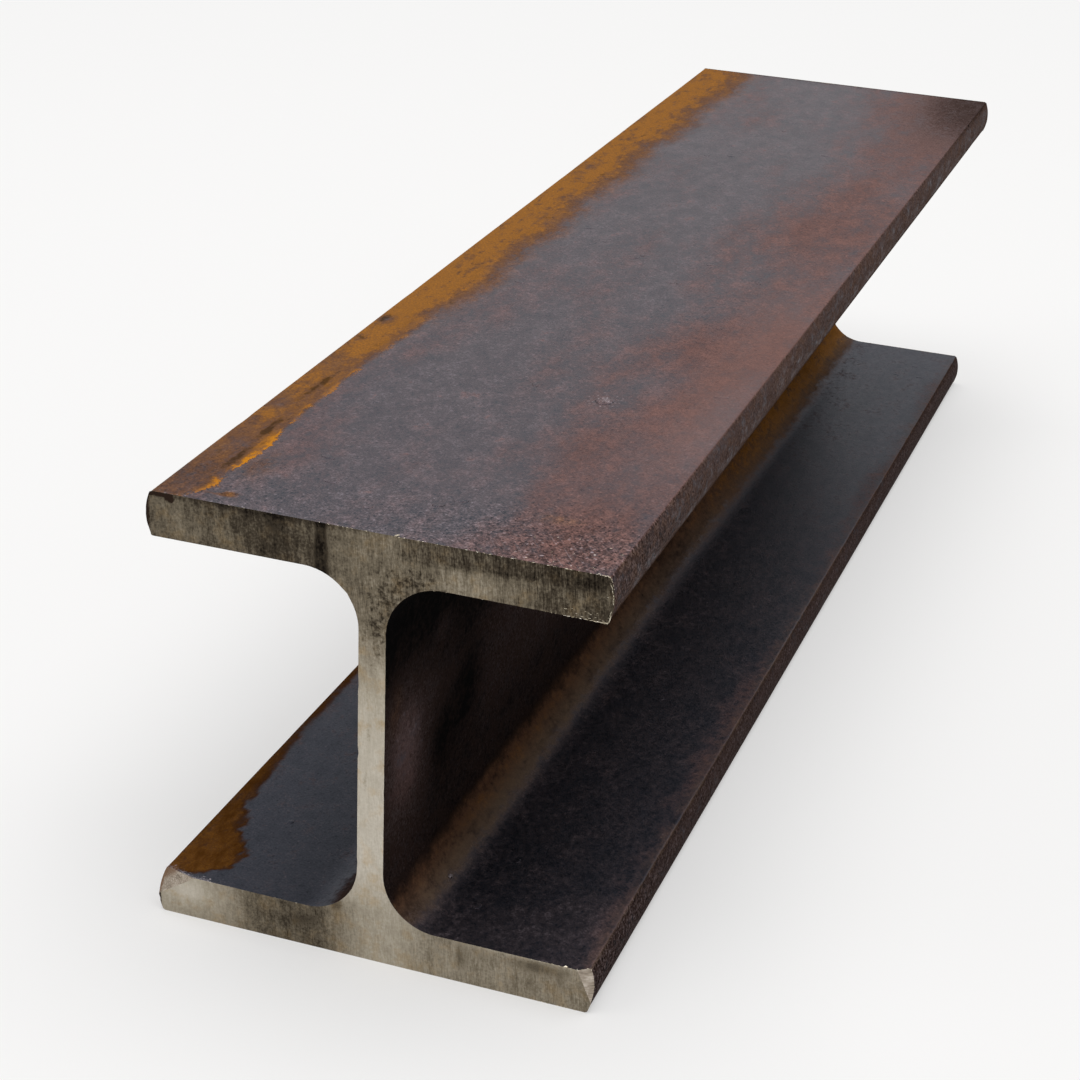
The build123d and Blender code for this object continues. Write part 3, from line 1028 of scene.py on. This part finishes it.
def reliefTree(values):
    # rolled waviness and pits, saw ripple and nicked edges, all pressed inwards from the nominal faces
    tree, ids, given = startTree("rolledRelief", values)
    place = addNode(tree, "GeometryNodeInputPosition")
    normal = addNode(tree, "GeometryNodeInputNormal")
    mark = {}
    for name in ("sawn", "ground", "outer"):
        mark[name] = addNode(tree, "GeometryNodeInputNamedAttribute", scalar, {"Name": name})
    field = {}
    for name in ("Wave", "Pit", "Ripple", "Nick"):
        stretched = addNode(tree, "ShaderNodeVectorMath", over, {0: place, 1: given[name + " Size"]})
        sockets = {"Vector": stretched, "W": given["Seed"], "Scale": 1.0, "Detail": 3.0}
        field[name] = addNode(tree, "ShaderNodeTexNoise", {"noise_dimensions": "4D"}, sockets)
    for name, (low, high) in (("Pit", relief["pitRange"]), ("Nick", relief["nickRange"])):
        field[name] = addNode(tree, "ShaderNodeMapRange", {}, {"Value": field[name], 1: low, 2: high})
    depth = addNode(tree, "ShaderNodeMath", times, {0: given["Headroom"], 1: mark["outer"]})
    for name in ("Wave", "Pit"):
        depth = {0: field[name], 1: given[name + " Depth"], 2: depth}
        depth = addNode(tree, "ShaderNodeMath", timesPlus, depth)
    cut = {0: field["Ripple"], 1: given["Ripple Depth"], 2: given["Saw Depth"]}
    cut = addNode(tree, "ShaderNodeMath", timesPlus, cut)
    depth = addNode(tree, "ShaderNodeMix", {}, {"Factor": mark["sawn"], 2: depth, 3: cut})
    # nicks only where rolled and sawn faces meet
    rim = addNode(tree, "ShaderNodeMath", {"operation": "PINGPONG"}, {0: mark["sawn"], 1: 0.5})
    nick = addNode(tree, "ShaderNodeMath", times, {0: field["Nick"], 1: given["Nick Depth"]})
    nick = addNode(tree, "ShaderNodeMath", times, {0: nick, 1: rim})
    depth = addNode(tree, "ShaderNodeMath", timesPlus, {0: nick, 1: 2.0, 2: depth})
    inward = addNode(tree, "ShaderNodeMath", times, {0: depth, 1: -1.0})
    offset = addNode(tree, "ShaderNodeVectorMath", {"operation": "SCALE"}, {0: normal, "Scale": inward})
    whole = addNode(tree, "GeometryNodeSetPosition", {}, {"Geometry": given["Geometry"], "Offset": offset})
    whole = addNode(tree, "GeometryNodeRealizeInstances", {}, {"Geometry": whole})
    sockets = {"Geometry": whole, "Material": given["Rolled Finish"]}
    whole = addNode(tree, "GeometryNodeSetMaterial", {}, sockets)
    for name, finish in (("sawn", "Sawn Finish"), ("ground", "Ground Finish")):
        there = addNode(tree, "FunctionNodeCompare", {"operation": "GREATER_THAN"}, {0: mark[name], 1: 0.5})
        sockets = {"Geometry": whole, "Selection": there, "Material": given[finish]}
        whole = addNode(tree, "GeometryNodeSetMaterial", {}, sockets)
    addNode(tree, "NodeGroupOutput", {}, {0: whole})
    return tree, ids


mesh = runTree(beam, reliefTree, {
    "Headroom": relief["headroom"] * mm,
    "Wave Depth": relief["wave"] * mm,
    "Wave Size": inMetres((relief["waveAcross"], relief["waveAlong"], relief["waveAcross"])),
    "Pit Depth": relief["pit"] * mm,
    "Pit Size": inMetres((relief["pitAcross"], relief["pitAlong"], relief["pitAcross"])),
    "Saw Depth": relief["saw"] * mm,
    "Ripple Depth": relief["ripple"] * mm,
    "Ripple Size": inMetres((relief["ripplePitch"], relief["rippleThrough"], relief["rippleUp"])),
    "Nick Depth": relief["nick"] * mm,
    "Nick Size": inMetres((relief["nickSize"],) * 3),
    "Seed": relief["seed"],
    "Rolled Finish": finishes["rolled"],
    "Sawn Finish": finishes["sawn"],
    "Ground Finish": finishes["ground"],
})
mesh.shade_smooth()
mesh.set_sharp_from_angle(angle=math.radians(relief["sharpAngle"]))
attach(beam, "root")
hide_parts("h_beam")
print("beam relief:", len(mesh.vertices), "points,", len(mesh.materials), "finishes")

burrs = {
    "shortest": (0.22, 0.05, 0.04),  # half sizes: along the edge, then across
    "longest": (0.65, 0.13, 0.10),
    "leastShare": 0.35,  # of those sizes, where there is hardly any burr
    "growth": 0.85,
    "wobble": 0.35,  # radians
    "edgeAngle": 50.0,  # degrees; only the sawn rim is this sharp
    "specksPerSquareMetre": 3000000.0,  # where they lie thickest
    "speckScale": 0.6,
    "chips": [  # loose ones on the edges: place, half sizes, turn in radians
        {"name": "Top Chip", "place": (4.8, -199.3, 99.95), "half": (0.65, 0.3, 0.12), "turn": 0.9},
        {"name": "Low Chip", "place": (43.7, -199.7, 9.85), "half": (0.5, 0.26, 0.34), "turn": 0.2},
    ],
    "lip": [(48.9, -199.85, 98.6), (49.0, -199.85, 91.2)],  # torn lip on the right rim: its ends
    "lipPoints": 40,
    "lipBulge": 0.7,  # it follows the crown of the tip
    "lipWander": 0.8,
    "lipWaves": 900.0,  # per metre
    "lipRadius": 0.14,
    "lipThinnest": 0.1,  # share of the radius
    "seed": 11,
}


def burrTree(values):
    # slivers of steel that the blade left along the sawn rim
    tree, ids, given = startTree("sawBurr", values)
    angle = addNode(tree, "GeometryNodeInputMeshEdgeAngle")
    more = {"operation": "GREATER_THAN"}
    sharp = addNode(tree, "FunctionNodeCompare", more, {0: angle, 1: given["Edge Angle"]})
    amount = addNode(tree, "GeometryNodeInputNamedAttribute", scalar, {"Name": "burr"})
    chance = addNode(tree, "FunctionNodeRandomValue", scalar, {"Seed": given["Seed"]}, out=1)
    chosen = addNode(tree, "FunctionNodeCompare", more, {0: amount, 1: chance})
    chosen = addNode(tree, "FunctionNodeBooleanMath", {}, {0: sharp, 1: chosen})
    ends = addNode(tree, "GeometryNodeInputMeshEdgeVertices", out=2)
    run = addNode(tree, "ShaderNodeVectorMath", minus, {0: ends.node.outputs[3], 1: ends})
    marked = {0: given["Geometry"], "Name": "run", "Value": run}
    rim = addNode(tree, "GeometryNodeStoreNamedAttribute", {**vector, "domain": "EDGE"}, marked)
    spots = addNode(tree, "GeometryNodeMeshToPoints", {"mode": "EDGES"}, {"Mesh": rim, "Selection": chosen})
    run = addNode(tree, "GeometryNodeInputNamedAttribute", vector, {"Name": "run"})
    turn = addNode(tree, "FunctionNodeAlignRotationToVector", {"axis": "X"}, {"Vector": run})
    tilt = addNode(tree, "FunctionNodeRandomValue", vector, {0: given["Least Tilt"], 1: given["Most Tilt"]})
    turn = addNode(tree, "FunctionNodeRotateRotation", {"rotation_space": "LOCAL"}, {0: turn, 1: tilt})
    size = {0: given["Shortest"], 1: given["Longest"], "Seed": given["Seed"]}
    size = addNode(tree, "FunctionNodeRandomValue", vector, size)
    heavy = {0: amount, 1: given["Growth"], 2: given["Least Share"]}
    heavy = addNode(tree, "ShaderNodeMath", timesPlus, heavy)
    grown = addNode(tree, "ShaderNodeVectorMath", {"operation": "SCALE"}, {0: size, "Scale": heavy})
    sliver = addNode(tree, "GeometryNodeMeshIcoSphere", {}, {"Radius": 1.0, "Subdivisions": 1})
    both = addNode(tree, "GeometryNodeJoinGeometry")
    edge = addNode(tree, "GeometryNodeInstanceOnPoints", {}, {
        "Points": spots, "Instance": sliver, "Rotation": turn, "Scale": grown})
    tree.links.new(edge, both.node.inputs[0])
    # specks of the same metal thrown over the scale beside the cut
    amount = addNode(tree, "GeometryNodeInputNamedAttribute", scalar, {"Name": "specks"})
    amount = addNode(tree, "ShaderNodeMath", times, {0: amount, 1: given["Speck Density"]})
    thrown = addNode(tree, "GeometryNodeDistributePointsOnFaces", {}, {
        "Mesh": given["Geometry"], "Density": amount, "Seed": given["Seed"]})
    small = {0: size, "Scale": given["Speck Scale"]}
    small = addNode(tree, "ShaderNodeVectorMath", {"operation": "SCALE"}, small)
    thrown = addNode(tree, "GeometryNodeInstanceOnPoints", {}, {
        "Points": thrown, "Instance": sliver, "Rotation": thrown.node.outputs["Rotation"], "Scale": small})
    tree.links.new(thrown, both.node.inputs[0])
    for name in [chip["name"] for chip in burrs["chips"]]:
        chip = addNode(tree, "GeometryNodeTransform", {}, {
            "Geometry": sliver,
            "Translation": given[name],
            "Rotation": given[name + " Turn"],
            "Scale": given[name + " Size"],
        })
        tree.links.new(chip, both.node.inputs[0])
    # a lip of torn metal on the right rim, wandering and uneven in thickness
    lip = {"Start": given["Lip Start"], "End": given["Lip End"]}
    lip = addNode(tree, "GeometryNodeCurvePrimitiveLine", {}, lip)
    lip = addNode(tree, "GeometryNodeResampleCurve", {}, {"Curve": lip, "Count": given["Lip Points"]})
    place = addNode(tree, "GeometryNodeInputPosition")
    drift = {"Vector": place, "Scale": given["Lip Waves"], "Detail": 3.0}
    drift = addNode(tree, "ShaderNodeTexNoise", {}, drift)
    drift = addNode(tree, "ShaderNodeMath", minus, {0: drift, 1: 0.5})
    drift = addNode(tree, "ShaderNodeMath", times, {0: drift, 1: given["Lip Wander"]})
    along = addNode(tree, "GeometryNodeSplineParameter")
    arch = addNode(tree, "ShaderNodeMath", times, {0: along, 1: math.pi})
    arch = addNode(tree, "ShaderNodeMath", {"operation": "SINE"}, {0: arch})
    drift = addNode(tree, "ShaderNodeMath", timesPlus, {0: arch, 1: given["Lip Bulge"], 2: drift})
    drift = addNode(tree, "ShaderNodeCombineXYZ", {}, {0: drift})
    lip = addNode(tree, "GeometryNodeSetPosition", {}, {"Geometry": lip, "Offset": drift})
    thick = {2: given["Lip Thinnest"], 3: 1.0, "Seed": given["Seed"]}
    thick = addNode(tree, "FunctionNodeRandomValue", scalar, thick, out=1)
    thick = addNode(tree, "ShaderNodeMath", times, {0: thick, 1: given["Lip Radius"]})
    ring = addNode(tree, "GeometryNodeCurvePrimitiveCircle", {}, {"Resolution": 6, "Radius": 1.0})
    lip = addNode(tree, "GeometryNodeCurveToMesh", {}, {
        "Curve": lip, "Profile Curve": ring, "Scale": thick, "Fill Caps": True})
    tree.links.new(lip, both.node.inputs[0])
    closeTree(tree, given, both)
    return tree, ids


def closeTree(tree, given, whole):
    # instances made real, kept inside the beam's box and given their finish
    whole = addNode(tree, "GeometryNodeRealizeInstances", {}, {"Geometry": whole})
    place = addNode(tree, "GeometryNodeInputPosition")
    inside = addNode(tree, "ShaderNodeVectorMath", larger, {0: place, 1: given["Box Low"]})
    inside = {0: inside, 1: given["Box High"]}
    inside = addNode(tree, "ShaderNodeVectorMath", {"operation": "MINIMUM"}, inside)
    whole = addNode(tree, "GeometryNodeSetPosition", {}, {"Geometry": whole, "Position": inside})
    whole = addNode(tree, "GeometryNodeSetMaterial", {}, {"Geometry": whole, "Material": given["Finish"]})
    addNode(tree, "NodeGroupOutput", {}, {0: whole})


burrValues = {
    "Edge Angle": math.radians(burrs["edgeAngle"]),
    "Shortest": inMetres(burrs["shortest"]),
    "Longest": inMetres(burrs["longest"]),
    "Least Share": burrs["leastShare"],
    "Growth": burrs["growth"],
    "Speck Density": burrs["specksPerSquareMetre"],
    "Speck Scale": burrs["speckScale"],
    "Lip Start": inMetres(burrs["lip"][0]),
    "Lip End": inMetres(burrs["lip"][1]),
    "Lip Points": burrs["lipPoints"],
    "Lip Bulge": burrs["lipBulge"] * mm,
    "Lip Wander": burrs["lipWander"] * mm,
    "Lip Waves": burrs["lipWaves"],
    "Lip Radius": burrs["lipRadius"] * mm,
    "Lip Thinnest": burrs["lipThinnest"],
    "Least Tilt": (-burrs["wobble"],) * 3,
    "Most Tilt": (burrs["wobble"],) * 3,
    "Seed": burrs["seed"],
    "Box Low": tuple(cadLow),
    "Box High": tuple(cadHigh),
    "Finish": finishes["torn"],
}
for chip in burrs["chips"]:
    burrValues[chip["name"]] = inMetres(chip["place"])
    burrValues[chip["name"] + " Size"] = inMetres(chip["half"])
    burrValues[chip["name"] + " Turn"] = (0.0, 0.0, chip["turn"])
sawBurr = newPiece("sawBurr", beam.data.copy())
burrMesh = runTree(sawBurr, burrTree, burrValues)
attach(sawBurr, "root")
print("saw burr:", len(burrMesh.polygons), "faces")

flakes = {
    "perSquareMetre": 800.0,
    "smallest": (0.4, 0.5, 0.04),  # half sizes: across, along, up
    "largest": (1.3, 1.9, 0.10),
    "blisters": [  # the two that show: place, then half sizes
        {"name": "Blister", "place": (18.9, -113.3, 99.8), "half": (2.2, 2.6, 0.2)},
        {"name": "Bead", "place": (10.0, -179.0, 11.0), "half": (0.7, 0.7, 0.45)},
    ],
    "margin": 4.0,  # kept clear along the edges
    "flatness": 0.05,  # how far a face may lean sideways; broad flat ones only
    "seed": 5,
}


def flakeTree(values):
    # blisters and lifted flakes of scale over the rolled skin
    tree, ids, given = startTree("scaleFlakes", values)
    sawn = addNode(tree, "GeometryNodeInputNamedAttribute", scalar, {"Name": "sawn"})
    ground = addNode(tree, "GeometryNodeInputNamedAttribute", scalar, {"Name": "ground"})
    cut = addNode(tree, "ShaderNodeMath", larger, {0: sawn, 1: ground})
    less = {"operation": "LESS_THAN"}
    rolled = addNode(tree, "FunctionNodeCompare", less, {0: cut, 1: 0.5})
    for axis, field, limit in (
        (0, "GeometryNodeInputNormal", given["Flatness"]),
        (0, "GeometryNodeInputPosition", given["Flange Reach"]),
        (1, "GeometryNodeInputPosition", given["Length Reach"]),
    ):
        part = addNode(tree, "ShaderNodeSeparateXYZ", {}, {0: addNode(tree, field)}, out=axis)
        part = addNode(tree, "ShaderNodeMath", {"operation": "ABSOLUTE"}, {0: part})
        within = addNode(tree, "FunctionNodeCompare", less, {0: part, 1: limit})
        rolled = addNode(tree, "FunctionNodeBooleanMath", {}, {0: rolled, 1: within})
    spots = addNode(tree, "GeometryNodeDistributePointsOnFaces", {}, {
        "Mesh": given["Geometry"], "Selection": rolled, "Density": given["Density"], "Seed": given["Seed"]})
    dome = addNode(tree, "GeometryNodeMeshUVSphere", {}, {"Segments": 10, "Rings": 6, "Radius": 1.0})
    size = {0: given["Smallest"], 1: given["Largest"], "Seed": given["Seed"]}
    size = addNode(tree, "FunctionNodeRandomValue", vector, size)
    whole = addNode(tree, "GeometryNodeInstanceOnPoints", {}, {
        "Points": spots, "Instance": dome, "Rotation": spots.node.outputs["Rotation"], "Scale": size})
    both = addNode(tree, "GeometryNodeJoinGeometry")
    tree.links.new(whole, both.node.inputs[0])
    for name in [blister["name"] for blister in flakes["blisters"]]:
        blister = addNode(tree, "GeometryNodeTransform", {}, {
            "Geometry": dome, "Translation": given[name], "Scale": given[name + " Size"]})
        tree.links.new(blister, both.node.inputs[0])
    closeTree(tree, given, both)
    return tree, ids


flakeValues = {
    "Density": flakes["perSquareMetre"],
    "Flatness": flakes["flatness"],
    "Flange Reach": (section["flangeWidth"] / 2 - flakes["margin"]) * mm,
    "Length Reach": (section["length"] / 2 - flakes["margin"]) * mm,
    "Smallest": inMetres(flakes["smallest"]),
    "Largest": inMetres(flakes["largest"]),
    "Seed": flakes["seed"],
    "Box Low": tuple(cadLow),
    "Box High": tuple(cadHigh),
    "Finish": finishes["rolled"],
}
for blister in flakes["blisters"]:
    flakeValues[blister["name"]] = inMetres(blister["place"])
    flakeValues[blister["name"] + " Size"] = inMetres(blister["half"])
scaleFlakes = newPiece("scaleFlakes", beam.data.copy())
flakeMesh = runTree(scaleFlakes, flakeTree, flakeValues)
flakeMesh.shade_smooth()
paintZones(flakeMesh)
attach(scaleFlakes, "root")
print("scale flakes:", len(flakeMesh.polygons), "faces")

# Plain pale floor
floorLook = {
    "reach": 3.0,  # metres from the middle to each edge
    "paper": "#F8F7F6",
    "bounce": "#9A9896",  # what it throws back at the beam
    "lift": "#F7F7F7",
    "lifted": 0.40,  # share of plain white in what is seen
    "plainFrom": 0.45,  # metres from the middle; plain white past the second
    "plainTo": 1.5,
}


def seenRays(tree):
    # the light path, and 1 for what is seen straight, in a reflection or through something clear
    path = addNode(tree, "ShaderNodeLightPath").node.outputs
    seen = addNode(tree, "ShaderNodeMath", larger, {0: path["Is Camera Ray"], 1: path["Is Glossy Ray"]})
    seen = addNode(tree, "ShaderNodeMath", larger, {0: seen, 1: path["Is Transmission Ray"]})
    return path, seen


floorMesh = bpy.data.meshes.new("floor")
reach = floorLook["reach"]
corners = [(-reach, -reach, 0), (reach, -reach, 0), (reach, reach, 0), (-reach, reach, 0)]
floorMesh.from_pydata(corners, [], [(0, 1, 2, 3)])
floor = newPiece("floor", floorMesh)
floorMaterial = bpy.data.materials.new("mattePaper")
floorMaterial.use_nodes = True
tree = floorMaterial.node_tree
tree.nodes.clear()
path, seen = seenRays(tree)
paper, bounce, lift = [linearColor(floorLook[name]) for name in ("paper", "bounce", "lift")]
shade = addNode(tree, "ShaderNodeMix", layer, {"Factor": path["Is Diffuse Ray"], 6: paper, 7: bounce}, out=2)
matte = addNode(tree, "ShaderNodeBsdfDiffuse", {}, {"Color": shade})
plain = addNode(tree, "ShaderNodeEmission", {}, {"Color": lift, "Strength": 1.0})
away = addNode(tree, "ShaderNodeTexCoord", out=3)
away = addNode(tree, "ShaderNodeVectorMath", {"operation": "LENGTH"}, {0: away}, out=1)
share = addNode(tree, "ShaderNodeMapRange", soft, {
    "Value": away, 1: floorLook["plainFrom"], 2: floorLook["plainTo"], 3: floorLook["lifted"], 4: 1.0})
seen = addNode(tree, "ShaderNodeMath", times, {0: seen, 1: share})
mixed = addNode(tree, "ShaderNodeMixShader", {}, {0: seen, 1: matte, 2: plain})
addNode(tree, "ShaderNodeOutputMaterial", {}, {0: mixed})
floorMesh.materials.append(floorMaterial)

# Soft studio light: a white surround, a wide panel overhead and a weaker one from the front left
studio = {
    "surround": "#F7F7F7",
    "ambient": 0.22,
    "aim": (0, 0, 0.05),
    "panels": [  # place in metres, size in metres, watts
        {"place": (0.18, 0.08, 3.0), "size": 3.45, "watts": 101.0},
        {"place": (-1.25, -0.8, 1.2), "size": 0.7, "watts": 2.5},
    ],
}
world = bpy.data.worlds.new("studio")
bpy.context.scene.world = world
world.use_nodes = True
tree = world.node_tree
tree.nodes.clear()
path, seen = seenRays(tree)
surround = linearColor(studio["surround"])
dim = addNode(tree, "ShaderNodeBackground", {}, {"Color": surround, "Strength": studio["ambient"]})
white = addNode(tree, "ShaderNodeBackground", {}, {"Color": surround, "Strength": 1.0})
mixed = addNode(tree, "ShaderNodeMixShader", {}, {0: seen, 1: dim, 2: white})
addNode(tree, "ShaderNodeOutputWorld", {}, {0: mixed})
for number, panel in enumerate(studio["panels"]):
    light = bpy.data.lights.new("panel%d" % number, "AREA")
    light.shape = "SQUARE"
    light.size = panel["size"]
    light.energy = panel["watts"]
    lamp = newPiece("panel%d" % number, light)
    lamp.location = panel["place"]
    facing = Vector(studio["aim"]) - Vector(panel["place"])
    lamp.rotation_euler = facing.to_track_quat("-Z", "Y").to_euler()
bpy.context.scene.view_settings.view_transform = "Standard"
print("floor and studio light")

view = {  # metres and degrees; lens and sensor in millimetres
    "place": (0.167221, -0.590389, 0.294707),
    "target": (0.014037, -0.140, 0.075767),
    "roll": 2.377,
    "lens": 79.6546,
    "sensor": 36.0,
    "nearest": 0.01,
}
camera = bpy.data.cameras.new("camera")
camera.sensor_width = view["sensor"]
camera.lens = view["lens"]
camera.clip_start = view["nearest"]
cameraObject = newPiece("camera", camera)
back = (Vector(view["place"]) - Vector(view["target"])).normalized()
right = Matrix.Rotation(math.radians(view["roll"]), 3, back) @ Vector((0, 0, 1)).cross(back).normalized()
axes = Matrix((right, back.cross(right), back)).transposed()
cameraObject.matrix_world = Matrix.Translation(view["place"]) @ axes.to_4x4()
bpy.context.scene.camera = cameraObject
print("camera placed")
